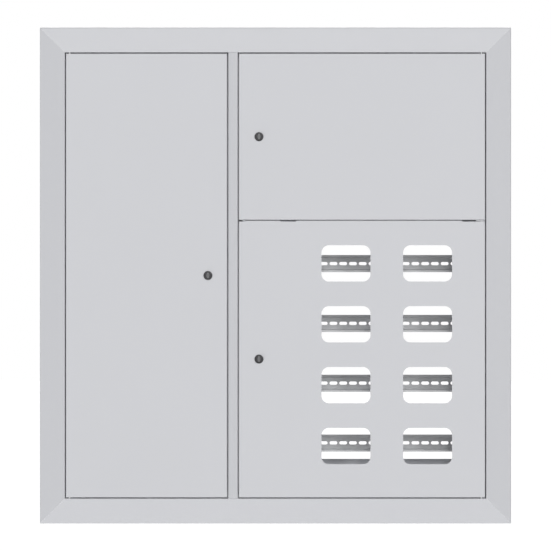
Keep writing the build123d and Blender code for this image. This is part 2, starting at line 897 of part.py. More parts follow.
def add_rails():
    """Rails, the uprights that carry them, and their screws."""
    left_places, centre_left_places = meter_screw_places(0)
    centre_right_places, right_places = meter_screw_places(1)
    half = upright_width / 2
    groups = {
        "left": left_places,
        "centre": centre_left_places + centre_right_places,
        "right": right_places,
    }
    for name, places in groups.items():
        left = min(x for x, z in places) - half
        right = max(x for x, z in places) + half
        add("meter_upright_" + name, make_upright(left, right, -inner_z, shelf_low, places))
    for side, x in zip(("left", "right"), meter_rail_columns):
        for row, z in enumerate(reversed(window_rows_z), start=1):
            add(f"meter_rail_{side}_{row}", make_rail(x, z, meter_rail_slots))
    for side, places in zip(("left", "right"), breaker_screw_places):
        x = places[0][0]
        add("breaker_upright_" + side, make_upright(x - half, x + half, shelf_high, inner_z, places))
    for name, z in zip(("upper", "lower"), breaker_rail_rows):
        add("breaker_rail_" + name, make_rail(breaker_rail_centre, z, breaker_rail_slots))
    rail_places = left_places + centre_left_places + centre_right_places + right_places
    rail_places += breaker_screw_places[0] + breaker_screw_places[1]
    screws = [make_screw(x, upright_front - rail_sheet, z) for x, z in rail_places]
    screws += [make_screw(x, plate_foot_front, z) for x, z in plate_screw_places]
    add("mounting_screws", *screws)


def add_bars():
    neutral, earth = bar_middles
    add("neutral_bar", make_terminal_bar(neutral))
    add("earth_bar", make_terminal_bar(earth))
    add("neutral_insulators", *make_bar_supports(neutral, insulator_radius))
    add("earth_standoffs", *make_bar_supports(earth, standoff_radius))
    add("bar_screws", *make_bar_screws(neutral), *make_bar_screws(earth))


def add_communications():
    add("comms_mounting_plate", make_mounting_plate())
    add("comms_strips", *[make_plate_strip(z) for z in strip_rows])
    seat = (inner_x, plate_foot_front, -inner_z + frame_stud_height)
    add("frame_earth_stud", *make_earth_stud(seat, (-1, 0, 0)))


def add_door(name, door, lock, stud_x, stud_z):
    """A door with the pieces of its lock and its earth stud."""
    add(name + "_door", door)
    add(name + "_lock_body", make_lock_body(*lock))
    add(name + "_lock_nut", make_lock_nut(*lock))
    add(name + "_lock_rotor", make_lock_rotor(*lock))
    add(name + "_lock_cam", make_lock_cam(*lock))
    add(name + "_cam_screw", make_cam_screw(*lock))
    seat = (stud_x, front + sheet, stud_z)
    add(name + "_door_earth_stud", *make_earth_stud(seat, (0, 1, 0)))


def add_doors():
    left = make_plain_door(-door_x, left_door_right, -door_z, door_z, -hinge_x, left_lock[0])
    add_door("left", left, left_lock, -door_x + stud_inset, -door_z + stud_inset)
    upper = make_plain_door(right_door_left, door_x, upper_door_low, door_z, hinge_x, upper_lock[0])
    add_door("upper", upper, upper_lock, door_x - stud_inset, upper_door_low + stud_inset)
    add_door("lower", make_lower_door(), lower_lock, door_x - stud_inset, -door_z + stud_inset)


add_frame()
add_hinges()
add_rails()
add_bars()
add_communications()
add_doors()

os.makedirs("parts", exist_ok=True)
for name, shape in nodes.items():
    export_step(shape, f"parts/{name}.step")
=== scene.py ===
import json
import math

import bmesh
import bpy
from mathutils import Matrix, Vector


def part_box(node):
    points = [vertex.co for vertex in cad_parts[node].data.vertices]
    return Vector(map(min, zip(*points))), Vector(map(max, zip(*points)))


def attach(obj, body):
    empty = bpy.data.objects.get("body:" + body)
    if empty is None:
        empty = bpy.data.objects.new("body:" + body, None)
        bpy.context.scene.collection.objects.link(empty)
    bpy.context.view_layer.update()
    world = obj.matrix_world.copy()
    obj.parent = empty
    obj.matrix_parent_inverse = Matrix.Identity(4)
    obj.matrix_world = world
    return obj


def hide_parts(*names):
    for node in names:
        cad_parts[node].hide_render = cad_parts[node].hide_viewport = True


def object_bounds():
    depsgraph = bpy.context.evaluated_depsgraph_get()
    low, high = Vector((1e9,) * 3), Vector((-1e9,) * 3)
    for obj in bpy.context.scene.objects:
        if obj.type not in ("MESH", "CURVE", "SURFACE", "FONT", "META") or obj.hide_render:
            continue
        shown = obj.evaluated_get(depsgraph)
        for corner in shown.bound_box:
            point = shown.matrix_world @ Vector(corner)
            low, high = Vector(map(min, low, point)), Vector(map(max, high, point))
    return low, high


# Studio picture of a recessed floor distribution board. Metres, in the board's own frame.
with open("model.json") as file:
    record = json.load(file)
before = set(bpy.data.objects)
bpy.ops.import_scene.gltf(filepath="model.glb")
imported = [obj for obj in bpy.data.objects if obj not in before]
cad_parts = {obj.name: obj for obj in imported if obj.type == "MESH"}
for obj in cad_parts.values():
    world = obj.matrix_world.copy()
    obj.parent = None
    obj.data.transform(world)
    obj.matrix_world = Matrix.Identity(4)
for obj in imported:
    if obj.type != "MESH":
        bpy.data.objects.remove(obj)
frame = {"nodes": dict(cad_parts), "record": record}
cad_low, cad_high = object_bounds()
nodes = frame["nodes"]
sides = ("left", "upper", "lower")

# Camera. The picture's side is in pixels, the scale in metres a pixel, the sensor in millimetres.
picture_side = 551
door_plane_scale = 0.0020117
camera_distance = 4.96
sensor_width = 36.0

# Light. Each lamp has its azimuth, elevation and width in degrees, and its power.
ambient_strength = 0.155
key_lamps = [(0, 24, 14, 0.87), (34, 12, 14, 0.66), (8, 31, 10, 0.53)]
low_lamp = (-70, -42, 40, 1.42)
back_lamp = (190, 36, 40, 1.15)

# Floor
floor_drop = 1.0
floor_half = 30.0
floor_glow = 1.2
floor_glow_share = 0.74

# Meshes
weld_distance = 0.000002
sharp_angle = 32
thread_rows = 5

# Threads
screw_pitch = 0.0008
screw_thread_depth = 0.0004
stud_pitch = 0.001
stud_thread_depth = 0.0005

# Screw heads, each ring by its share of the head's height and of its radius
domed_head = [(0.45, 1.0), (0.66, 0.965), (0.82, 0.88), (0.93, 0.74), (0.985, 0.56), (1.0, 0.36)]
flat_head = [(0.86, 1.0), (0.95, 0.975), (1.0, 0.92)]
cross_half_width = 0.00045

# Screws of the rails and the mounting plate
mount_radius = 0.0024
mount_length = 0.009
mount_head_radius = 0.0045
mount_head_height = 0.0024
mount_cross_arm = 0.0024
mount_cross_depth = 0.0016

# Screws of the neutral and the earth bar
terminal_radius = 0.0023
terminal_head_radius = 0.0034
terminal_head_height = 0.0022
terminal_slot_reach = 0.006
terminal_slot_half_width = 0.0005
terminal_slot_depth = 0.0012

# Screws of the lock cams
cam_screw_radius = 0.0024
cam_screw_length = 0.008
cam_head_radius = 0.0045
cam_head_height = 0.0028
cam_cross_arm = 0.0025
cam_cross_depth = 0.0018

# Nuts
nut_bevel_angle = 30
nut_bevel_share = 0.48
nut_sides = 72
lock_nut_flats = 0.022
lock_nut_height = 0.004
lock_nut_bore = 0.00805
stud_nut_flats = 0.010
stud_nut_height = 0.005
stud_nut_bore = 0.00305

# Earth studs
stud_radius = 0.003
stud_length = 0.015
washer_low = 0.005
washer_high = 0.0062
washer_bore = 0.0031
washer_radius = 0.006
washer_edge = 0.00015

# Lock barrels. Heights count from the door's face, forwards.
barrel_back = -0.0223
barrel_radius = 0.008
barrel_bevel = 0.0005
barrel_half_flats = 0.007
barrel_bore = 0.00508
flange_radius = 0.009
flange_height = 0.002
face_recess_radius = 0.00658
face_recess_floor = -0.0025

# Lock cores
core_radius = 0.0065
core_front = 0.0015
shank_radius = 0.005
shank_back = -0.0226
tail_back = -0.0246
tail_half = 0.003
tail_bore = 0.00245
tail_bore_end = -0.0156
boss_rise = 0.0004
boss_half_width = 0.0028
boss_half_height = 0.0058
key_half_width = 0.0008
key_half_height = 0.0035
key_floor = -0.0006

# Hinge pins
pin_radius = 0.002
pin_tip_radius = 0.0014
pin_length = 0.0094
pin_head_height = 0.0015

# Insulators
insulator_height = 0.026
insulator_radius = 0.0082
insulator_end_radius = 0.0076
insulator_hole = 0.0024
rib_count = 4
rib_rise = 0.0008
rib_rows = 56

# Slots of the mounting plate
plate_slot_half_width = 0.0045
plate_slot_half_length = 0.026
plate_slot_reach = 0.004
plate_slot_spacing = 0.072
plate_slot_rows = 8

# Colours, linear
door_grey = (0.600, 0.606, 0.632)
# Side trims and mullion: the same paint as the doors, made darker here as painted shade for the lower light
# that falls on the upright members.
post_grey_painted_shade = (0.558, 0.564, 0.589)
zinc = (0.62, 0.625, 0.635)
galvanised = (0.58, 0.60, 0.62)
bright_steel = (0.62, 0.62, 0.61)
lock_black = (0.022, 0.022, 0.025)
key_grey = (0.16, 0.16, 0.165)
brass = (0.70, 0.52, 0.22)
insulator_blue = (0.02, 0.09, 0.30)


def new_material(name):
    """A node material with its tree and its principled shader."""
    material = bpy.data.materials.new(name)
    material.use_nodes = True
    tree = material.node_tree
    return material, tree, tree.nodes["Principled BSDF"]


def add_node(tree, kind, **values):
    """A node with some of its inputs set. Underscores in a name stand for spaces."""
    node = tree.nodes.new(kind)
    for key, value in values.items():
        node.inputs[key.replace("_", " ")].default_value = value
    return node


def place_vector(tree, stretch=(1, 1, 1)):
    """Object coordinates, stretched."""
    coordinates = tree.nodes.new("ShaderNodeTexCoord")
    mapping = add_node(tree, "ShaderNodeMapping", Scale=stretch)
    tree.links.new(coordinates.outputs["Object"], mapping.inputs["Vector"])
    return mapping.outputs["Vector"]


def noise(tree, vector, scale, detail=2.0):
    """Soft noise at a scale."""
    node = add_node(tree, "ShaderNodeTexNoise", Scale=scale, Detail=detail)
    tree.links.new(vector, node.inputs["Vector"])
    return node.outputs["Fac"]


def between(tree, factor, low, high, from_low=0.0, from_high=1.0):
    """Maps a factor to the range from low to high."""
    node = add_node(
        tree, "ShaderNodeMapRange", From_Min=from_low, From_Max=from_high, To_Min=low, To_Max=high
    )
    tree.links.new(factor, node.inputs["Value"])
    return node.outputs["Result"]


def blend_colours(tree, factor, first, second):
    """Mixes two colours, each a tuple or a socket."""
    node = tree.nodes.new("ShaderNodeMix")
    node.data_type = "RGBA"
    tree.links.new(factor, node.inputs["Factor"])
    for name, colour in (("A", first), ("B", second)):
        socket = [s for s in node.inputs if s.name == name and s.type == "RGBA"][0]
        if isinstance(colour, tuple):
            socket.default_value = (*colour, 1.0)
        else:
            tree.links.new(colour, socket)
    return [s for s in node.outputs if s.type == "RGBA"][0]


def bump(tree, height, distance, strength, under=None):
    """Fine relief from a height, laid over another relief if there is one."""
    node = add_node(tree, "ShaderNodeBump", Strength=strength, Distance=distance)
    tree.links.new(height, node.inputs["Height"])
    if under is not None:
        tree.links.new(under, node.inputs["Normal"])
    return node.outputs["Normal"]


def shade(colour, amount):
    """A colour made darker or lighter."""
    return tuple(channel * amount for channel in colour)


def vector_step(tree, operation, first, second=None):
    """Vector maths node on a socket and, where it takes one, a fixed vector."""
    node = tree.nodes.new("ShaderNodeVectorMath")
    node.operation = operation
    tree.links.new(first, node.inputs[0])
    if second is not None:
        node.inputs[1].default_value = second
    return node


def larger(tree, first, second):
    """The larger of two sockets."""
    node = tree.nodes.new("ShaderNodeMath")
    node.operation = "MAXIMUM"
    tree.links.new(first, node.inputs[0])
    tree.links.new(second, node.inputs[1])
    return node.outputs["Value"]


def powder_coat(name, colour):
    """Satin powder coat with its fine orange peel and faint changes of tone."""
    material, tree, surface = new_material(name)
    vector = place_vector(tree)
    broad = noise(tree, vector, scale=5.0, detail=3.0)
    fine = noise(tree, vector, scale=1400.0, detail=1.0)
    tone = blend_colours(tree, broad, shade(colour, 0.985), shade(colour, 1.015))
    speck = blend_colours(tree, between(tree, fine, low=0.0, high=0.35), tone, shade(colour, 0.96))
    tree.links.new(speck, surface.inputs["Base Color"])
    cloud = noise(tree, vector, scale=60.0)
    tree.links.new(between(tree, cloud, low=0.44, high=0.56), surface.inputs["Roughness"])
    peel = bump(tree, noise(tree, vector, scale=480.0), distance=0.00010, strength=0.35)
    grain = bump(tree, fine, distance=0.00003, strength=0.35, under=peel)
    tree.links.new(grain, surface.inputs["Normal"])
    surface.inputs["Specular IOR Level"].default_value = 0.4
    return material


def rolled_zinc(name, colour, rough, metallic):
    """Passivated zinc on rolled strip, with fine lines along the strip."""
    material, tree, surface = new_material(name)
    along_strip = (6, 300, 300)
    lines = noise(tree, place_vector(tree, along_strip), scale=6.0, detail=3.0)
    cloud = noise(tree, place_vector(tree), scale=22.0, detail=3.0)
    tone = blend_colours(tree, cloud, shade(colour, 0.93), shade(colour, 1.06))
    lined = blend_colours(tree, between(tree, lines, low=0.0, high=0.5), tone, shade(colour, 0.88))
    tree.links.new(lined, surface.inputs["Base Color"])
    tree.links.new(between(tree, cloud, rough - 0.05, rough + 0.07), surface.inputs["Roughness"])
    tree.links.new(bump(tree, lines, distance=0.00004, strength=0.3), surface.inputs["Normal"])
    surface.inputs["Metallic"].default_value = metallic
    return material


def galvanised_sheet(name, colour):
    """Hot-dip zinc sheet with its spangle."""
    material, tree, surface = new_material(name)
    vector = place_vector(tree)
    cells = add_node(tree, "ShaderNodeTexVoronoi", Scale=170.0)
    tree.links.new(vector, cells.inputs["Vector"])
    value = tree.nodes.new("ShaderNodeSeparateColor")
    tree.links.new(cells.outputs["Color"], value.inputs["Color"])
    spangle = value.outputs["Red"]
    cloud = noise(tree, vector, scale=14.0, detail=4.0)
    tone = blend_colours(tree, spangle, shade(colour, 0.90), shade(colour, 1.08))
    dull = blend_colours(tree, between(tree, cloud, low=0.0, high=0.4), tone, shade(colour, 0.92))
    tree.links.new(dull, surface.inputs["Base Color"])
    tree.links.new(between(tree, spangle, low=0.34, high=0.50), surface.inputs["Roughness"])
    grain = bump(tree, noise(tree, vector, scale=700.0), distance=0.00003, strength=0.3)
    tree.links.new(grain, surface.inputs["Normal"])
    surface.inputs["Metallic"].default_value = 1.0
    return material


def turned_metal(name, colour, rough):
    """Turned or pressed metal with fine marks."""
    material, tree, surface = new_material(name)
    vector = place_vector(tree)
    marks = noise(tree, vector, scale=1800.0)
    cloud = noise(tree, vector, scale=120.0, detail=3.0)
    tone = blend_colours(tree, cloud, shade(colour, 0.88), shade(colour, 1.08))
    tree.links.new(tone, surface.inputs["Base Color"])
    tree.links.new(between(tree, marks, rough - 0.07, rough + 0.09), surface.inputs["Roughness"])
    tree.links.new(bump(tree, marks, distance=0.00002, strength=0.3), surface.inputs["Normal"])
    surface.inputs["Metallic"].default_value = 1.0
    return material


def lock_core(name, centre):
    """Black core whose raised key boss, a small upright oval, is worn to a lighter grey."""
    material, tree, surface = new_material(name)
    vector = place_vector(tree)
    from_centre = vector_step(tree, "SUBTRACT", vector, centre)
    to_oval = (1 / boss_half_width, 0, 1 / boss_half_height)
    scaled = vector_step(tree, "MULTIPLY", from_centre.outputs["Vector"], to_oval)
    length = vector_step(tree, "LENGTH", scaled.outputs["Vector"])
    inside = between(tree, length.outputs["Value"], low=1.0, high=0.0, from_low=0.94, from_high=1.06)
    grain = noise(tree, vector, scale=1500.0)
    worn = blend_colours(tree, grain, shade(key_grey, 0.85), shade(key_grey, 1.15))
    tree.links.new(blend_colours(tree, inside, lock_black, worn), surface.inputs["Base Color"])
    tree.links.new(between(tree, grain, low=0.34, high=0.48), surface.inputs["Roughness"])
    tree.links.new(bump(tree, grain, distance=0.00003, strength=0.3), surface.inputs["Normal"])
    return material


def plain_coat(name, colour, rough):
    """Coated or moulded surface with a fine grain."""
    material, tree, surface = new_material(name)
    vector = place_vector(tree)
    grain = noise(tree, vector, scale=900.0)
    tone = blend_colours(tree, grain, shade(colour, 0.88), shade(colour, 1.12))
    tree.links.new(tone, surface.inputs["Base Color"])
    tree.links.new(between(tree, grain, rough - 0.06, rough + 0.08), surface.inputs["Roughness"])
    tree.links.new(bump(tree, grain, distance=0.00004, strength=0.35), surface.inputs["Normal"])
    return material


def ring_mesh(rings, segments, closed=False):
    """Rings stacked along Z. Each has a height and a radius, which may depend on the angle."""
    mesh = bmesh.new()
    loops = []
    for height, radius in rings:
        loop = []
        for step in range(segments):
            angle = 2 * math.pi * step / segments
            reach = radius(angle) if callable(radius) else radius
            loop.append(mesh.verts.new((reach * math.cos(angle), reach * math.sin(angle), height)))
        loops.append(loop)
    pairs = list(zip(loops, loops[1:]))
    if closed:
        pairs.append((loops[-1], loops[0]))
    else:
        mesh.faces.new(loops[0][::-1])
        mesh.faces.new(loops[-1])
    for lower, upper in pairs:
        for step in range(segments):
            after = (step + 1) % segments
            mesh.faces.new((lower[step], lower[after], upper[after], upper[step]))
    return mesh


def thread_rings(low, high, radius, pitch, depth):
    """Rings of a thread that runs out at both ends."""
    count = round((high - low) / pitch * thread_rows)
    rings = []
    for row in range(count + 1):
        height = low + (high - low) * row / count
        cut = depth * min(1, row / thread_rows, (count - row) / thread_rows)

        def reach(angle, height=height, cut=cut):
            turn = (height / pitch - angle / (2 * math.pi)) % 1
            return radius - cut * abs(2 * turn - 1)

        rings.append((height, reach))
    return rings


def hexagon_reach(flats, limit):
    """Radius of a hexagon with its corners on the X axis, held inside a circle."""
    def reach(angle):
        from_flat = (angle % (math.pi / 3)) - math.pi / 6
        return min(flats / 2 / math.cos(from_flat), limit)
    return reach


def hexagon_nut(flats, height, bore):
    """Hexagon nut whose corners are turned off at both ends, from height 0 upwards."""
    corner = flats / math.sqrt(3)
    slope = math.tan(math.radians(nut_bevel_angle))
    face = flats * nut_bevel_share
    deep = (corner - face) * slope
    steps = [deep * share for share in (0, 0.2, 0.4, 0.7, 1)]
    bevels = [(step, hexagon_reach(flats, face + step / slope)) for step in steps]
    outer = bevels + [(height - step, reach) for step, reach in bevels[::-1]]
    bevel = bore * 0.06
    inner = [(height, bore + bevel), (height - bevel, bore), (bevel, bore), (0, bore + bevel)]
    return ring_mesh(outer + inner, nut_sides, closed=True)


def cross_tool(arm, top, depth):
    """Tapered cross that cuts the recess of a screw."""
    side = cross_half_width
    quarter = [(arm, -side), (arm, side), (side, side)]
    outline = list(quarter)
    for turn in range(3):
        quarter = [(-y, x) for x, y in quarter]
        outline += quarter
    narrow = 0.55
    wide = 1.1
    above = depth * 0.2
    mesh = bmesh.new()
    low = [mesh.verts.new((x * narrow, y * narrow, top - depth)) for x, y in outline]
    high = [mesh.verts.new((x * wide, y * wide, top + above)) for x, y in outline]
    mesh.faces.new(low[::-1])
    mesh.faces.new(high)
    for step in range(len(outline)):
        after = (step + 1) % len(outline)
        mesh.faces.new((low[step], low[after], high[after], high[step]))
    return mesh


def slot_tool(reach, half_width, top, depth):
    """Straight cutter for the slot of a screw."""
    mesh = bmesh.new()
    bmesh.ops.create_cube(mesh, size=1)
    stretch = Matrix.Diagonal((2 * reach, 2 * half_width, 2 * depth, 1))
    bmesh.ops.transform(mesh, matrix=Matrix.Translation((0, 0, top)) @ stretch, verts=mesh.verts)
    return mesh


def cut_away(body, tool):
    """Mesh data of body with tool cut out of it. Both meshes are used up."""
    objects = []
    for mesh in (body, tool):
        data = bpy.data.meshes.new("cut")
        bmesh.ops.recalc_face_normals(mesh, faces=mesh.faces)
        mesh.to_mesh(data)
        mesh.free()
        thing = bpy.data.objects.new("cut", data)
        bpy.context.scene.collection.objects.link(thing)
        objects.append(thing)
    cut = objects[0].modifiers.new("cut", "BOOLEAN")
    cut.operation = "DIFFERENCE"
    cut.solver = "EXACT"
    cut.object = objects[1]
    bpy.context.view_layer.update()
    shape = objects[0].evaluated_get(bpy.context.evaluated_depsgraph_get())
    result = bpy.data.meshes.new_from_object(shape)
    for thing in objects:
        data = thing.data
        bpy.data.objects.remove(thing)
        bpy.data.meshes.remove(data)
    return result


def screw_mesh(radius, length, head_radius, head_height, head, tool):
    """Screw with its head above height 0 and its thread below."""
    tip = radius * 0.35
    thread_low = -length + tip * 1.1
    thread_high = -radius * 0.4
    rings = [(-length, radius - tip), (-length + tip, radius)]
    rings += thread_rings(thread_low, thread_high, radius, screw_pitch, screw_thread_depth)
    rings += [(0, radius), (0, head_radius * 0.96), (head_height * 0.06, head_radius)]
    rings += [(head_height * up, head_radius * out) for up, out in head]
    return cut_away(ring_mesh(rings, segments=40), tool)


def loose_boxes(name):
    """Lowest and highest corner of each loose solid of a CAD node."""
    mesh = bmesh.new()
    mesh.from_mesh(nodes[name].data)
    bmesh.ops.remove_doubles(mesh, verts=mesh.verts, dist=weld_distance)
    waiting = set(mesh.verts)
    boxes = []
    while waiting:
        stack = [waiting.pop()]
        points = []
        while stack:
            vertex = stack.pop()
            points.append(vertex.co.copy())
            for edge in vertex.link_edges:
                other = edge.other_vert(vertex)
                if other in waiting:
                    waiting.remove(other)
                    stack.append(other)
        low = Vector([min(point[axis] for point in points) for axis in range(3)])
        high = Vector([max(point[axis] for point in points) for axis in range(3)])
        boxes.append((low, high))
    mesh.free()
    return sorted(boxes, key=lambda box: tuple(round(value, 5) for value in box[0]))


def towards(direction, place, turn=0.0):
    """Place whose Z axis points along a direction."""
    aim = Vector(direction).to_track_quat("Z", "Y").to_matrix().to_4x4()
    return Matrix.Translation(place) @ aim @ Matrix.Rotation(turn, 4, "Z")


def gather(parts):
    """One mesh from pairs of mesh data and a place."""
    whole = bmesh.new()
    for data, place in parts:
        known = len(whole.verts)
        whole.from_mesh(data)
        whole.verts.ensure_lookup_table()
        bmesh.ops.transform(whole, matrix=place, verts=whole.verts[known:])
    return whole


def as_data(mesh):
    """Mesh data of a mesh, which is used up."""
    data = bpy.data.meshes.new("shape")
    mesh.to_mesh(data)
    mesh.free()
    return data


def new_piece(name, mesh, material, body, slot, *replaced):
    """Piece of the visible model that stands for CAD nodes."""
    data = as_data(mesh)
    data.name = name
    data.materials.append(material)
    data.shade_smooth()
    data.set_sharp_from_angle(angle=math.radians(sharp_angle))
    piece = bpy.data.objects.new(name, data)
    bpy.context.scene.collection.objects.link(piece)
    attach(piece, body)
    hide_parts(*replaced)


def make_mounting_screws(material):
    """Pan-head screws with a cross recess, through the rails and the mounting plate."""
    tool = cross_tool(mount_cross_arm, mount_head_height, mount_cross_depth)
    shape = screw_mesh(
        mount_radius, mount_length, mount_head_radius, mount_head_height, domed_head, tool
    )
    parts = []
    for count, (low, high) in enumerate(loose_boxes("mounting_screws")):
        seat = ((low.x + high.x) / 2, low.y + mount_head_height, (low.z + high.z) / 2)
        parts.append((shape, towards((0, -1, 0), seat, turn=count * 0.7)))
    new_piece("rail_screws", gather(parts), material, "carcass", "zinc_fastener", "mounting_screws")


def make_bar_screws(material):
    """Slotted screws of the neutral and the earth bar."""
    parts = []
    shapes = {}
    for count, (low, high) in enumerate(loose_boxes("bar_screws")):
        seat = ((low.x + high.x) / 2, (low.y + high.y) / 2, high.z - terminal_head_height)
        length = round(seat[2] - low.z, 5)
        if length not in shapes:
            tool = slot_tool(
                terminal_slot_reach, terminal_slot_half_width, terminal_head_height, terminal_slot_depth
            )
            shapes[length] = screw_mesh(
                terminal_radius, length, terminal_head_radius, terminal_head_height, flat_head, tool
            )
        parts.append((shapes[length], towards((0, 0, 1), seat, turn=count * 0.9)))
    new_piece("terminal_screws", gather(parts), material, "carcass", "zinc_fastener", "bar_screws")


def make_cam_screws(material):
    """Pan-head screws that hold the cams on the lock cores."""
    for side in sides:
        node = side + "_cam_screw"
        low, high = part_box(node)
        tool = cross_tool(cam_cross_arm, cam_head_height, cam_cross_depth)
        shape = screw_mesh(
            cam_screw_radius, cam_screw_length, cam_head_radius, cam_head_height, domed_head, tool
        )
        seat = ((low.x + high.x) / 2, high.y - cam_head_height, (low.z + high.z) / 2)
        mesh = gather([(shape, towards((0, 1, 0), seat, turn=0.4))])
        new_piece(side + "_cam_fixing", mesh, material, side + "_lock", "zinc_fastener", node)


def make_lock_nuts(material):
    """Nuts behind the doors, on the lock barrels."""
    shape = as_data(hexagon_nut(lock_nut_flats, lock_nut_height, lock_nut_bore))
    for side in sides:
        node = side + "_lock_nut"
        low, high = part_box(node)
        place = towards((0, 1, 0), ((low.x + high.x) / 2, low.y, (low.z + high.z) / 2))
        mesh = gather([(shape, place)])
        new_piece(side + "_lock_ring_nut", mesh, material, side + "_door", "zinc_fastener", node)


def stud_mesh():
    """Threaded stud on a plain foot."""
    rings = [(0, stud_radius), (0.0006, stud_radius)]
    rings += thread_rings(0.0008, stud_length - 0.0006, stud_radius, stud_pitch, stud_thread_depth)
    rings += [(stud_length - 0.0004, stud_radius - 0.0001), (stud_length, stud_radius - 0.0005)]
    return ring_mesh(rings, segments=32)


def washer_mesh():
    """Plain washer with broken edges, at its height on the stud."""
    narrow = washer_radius - washer_edge
    rings = [(washer_low, washer_bore), (washer_low, narrow), (washer_low + washer_edge, washer_radius)]
    rings += [(washer_high - washer_edge, washer_radius), (washer_high, narrow), (washer_high, washer_bore)]
    return ring_mesh(rings, segments=48, closed=True)


def make_earth_studs(material):
    """Threaded studs, each with its washer and nut."""
    stud = as_data(stud_mesh())
    washer = as_data(washer_mesh())
    nut = as_data(hexagon_nut(stud_nut_flats, stud_nut_height, stud_nut_bore))
    sites = [(side + "_door", side + "_door_earth_stud", (0, 1, 0)) for side in sides]
    sites.append(("carcass", "frame_earth_stud", (-1, 0, 0)))
    for body, node, direction in sites:
        low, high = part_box(node)
        seat = (low + high) / 2 - Vector(direction) * stud_length / 2
        upright = towards(direction, seat)
        lifted = towards(direction, seat + Vector(direction) * washer_high, turn=0.35)
        mesh = gather([(stud, upright), (washer, upright), (nut, lifted)])
        new_piece(node + "_set", mesh, material, body, "zinc_fastener", node)


def with_flats(rings, half_flats):
    """The same rings with two flats, at right angles to the X axis."""
    flattened = []
    for height, radius in rings:
        def reach(angle, radius=radius):
            whole = radius(angle) if callable(radius) else radius
            across = abs(math.cos(angle))
            return min(whole, half_flats / across) if across > 0.001 else whole
        flattened.append((height, reach))
    return flattened


def barrel_mesh():
    """Threaded barrel with two flats, and a round flange that is recessed for the core."""
    barrel = [(barrel_back, barrel_radius - barrel_bevel), (barrel_back + barrel_bevel, barrel_radius)]
    thread_low = barrel_back + 0.0007
    barrel += thread_rings(thread_low, -0.0008, barrel_radius, stud_pitch, stud_thread_depth)
    barrel += [(0, barrel_radius)]
    flange = [
        (0, flange_radius - 0.0002),
        (0.0002, flange_radius),
        (flange_height - 0.0007, flange_radius),
        (flange_height - 0.0003, flange_radius - 0.00015),
        (flange_height - 0.0001, flange_radius - 0.0004),
        (flange_height, flange_radius - 0.0008),
        (flange_height, face_recess_radius + 0.00042),
        (flange_height - 0.0002, face_recess_radius + 0.00012),
        (flange_height - 0.0005, face_recess_radius),
    ]
    inside = [
        (face_recess_floor, face_recess_radius),
        (face_recess_floor, barrel_bore),
        (barrel_back, barrel_bore),
    ]
    rings = with_flats(barrel, barrel_half_flats) + flange + inside
    return ring_mesh(rings, segments=96, closed=True)


def make_lock_bodies(material):
    """Flanged barrels with rounded rims, a thread and two flats."""
    shape = as_data(barrel_mesh())
    for side in sides:
        node = side + "_lock_body"
        low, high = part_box(node)
        seat = ((low.x + high.x) / 2, low.y + flange_height, (low.z + high.z) / 2)
        mesh = gather([(shape, towards((0, -1, 0), seat))])
        new_piece(side + "_lock_barrel", mesh, material, side + "_door", "lock_black", node)


def slot_reach(half_width, half_length):
    """Radius of an upright slot with round ends, seen from its middle."""
    def reach(angle):
        across = abs(math.cos(angle))
        along = abs(math.sin(angle))
        straight = half_length - half_width
        if across > 0.000001 and half_width * along / across <= straight:
            return half_width / across
        return straight * along + math.sqrt(max(0, half_width ** 2 - (straight * across) ** 2))
    return reach


def square_reach(half):
    """Radius of a square, seen from its middle."""
    def reach(angle):
        return half / max(abs(math.cos(angle)), abs(math.sin(angle)))
    return reach


def boss_reach(inset):
    """Outline of the key boss, drawn in by an inset."""
    return slot_reach(boss_half_width - inset, boss_half_height - inset)


def key_reach(widening):
    """Outline of the key slot, widened at its mouth."""
    return slot_reach(key_half_width + widening, key_half_height + widening)


def core_mesh():
    """Turning core with a key boss in front, a round shank, and a square tail with a screw hole."""
    boss_front = core_front + boss_rise
    rings = [
        (tail_bore_end, tail_bore),
        (tail_back + 0.0002, tail_bore),
        (tail_back, tail_bore + 0.0002),
        (tail_back, square_reach(tail_half - 0.0003)),
        (tail_back + 0.0003, square_reach(tail_half)),
        (shank_back, square_reach(tail_half)),
        (shank_back, shank_radius - 0.0002),
        (shank_back + 0.0002, shank_radius),
        (face_recess_floor, shank_radius),
        (face_recess_floor, core_radius - 0.0002),
        (face_recess_floor + 0.0002, core_radius),
        (core_front - 0.0004, core_radius),
        (core_front - 0.00013, core_radius - 0.00007),
        (core_front - 0.00002, core_radius - 0.0002),
        (core_front, core_radius - 0.00038),
        (core_front, boss_reach(0)),
        (boss_front - 0.00015, boss_reach(0.00003)),
        (boss_front - 0.00005, boss_reach(0.00011)),
        (boss_front, boss_reach(0.0003)),
        (boss_front, key_reach(0.00015)),
        (boss_front - 0.00015, key_reach(0)),
        (key_floor, key_reach(0)),
    ]
    return ring_mesh(rings, segments=120)


def make_lock_cores(coats):
    """Turning cores, each with a softly raised key boss in front and a square tail."""
    shape = as_data(core_mesh())
    for side in sides:
        node = side + "_lock_rotor"
        low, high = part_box(node)
        seat = ((low.x + high.x) / 2, low.y + core_front + boss_rise, (low.z + high.z) / 2)
        mesh = gather([(shape, towards((0, -1, 0), seat))])
        new_piece(side + "_lock_core", mesh, coats[node], side + "_lock", "lock_core", node)


def headed_pin_mesh():
    """Pin with a low round head above height 0 and a bevelled tip below."""
    rings = [
        (-pin_length, pin_tip_radius),
        (-pin_length + 0.0006, pin_radius - 0.0001),
        (-pin_length + 0.0009, pin_radius),
        (0, pin_radius),
        (0, 0.0027),
        (0.0001, 0.0028),
        (0.0008, 0.0028),
        (0.0012, 0.00255),
        (0.0014, 0.0020),
        (pin_head_height, 0.0012),
    ]
    return ring_mesh(rings, segments=40)


def plain_pin_mesh(half):
    """Pin with both ends bevelled, centred on height 0."""
    low_end = [(-half, pin_tip_radius), (-half + 0.0006, pin_radius - 0.0001), (-half + 0.0009, pin_radius)]
    high_end = [(-height, radius) for height, radius in low_end[::-1]]
    return ring_mesh(low_end + high_end, segments=40)


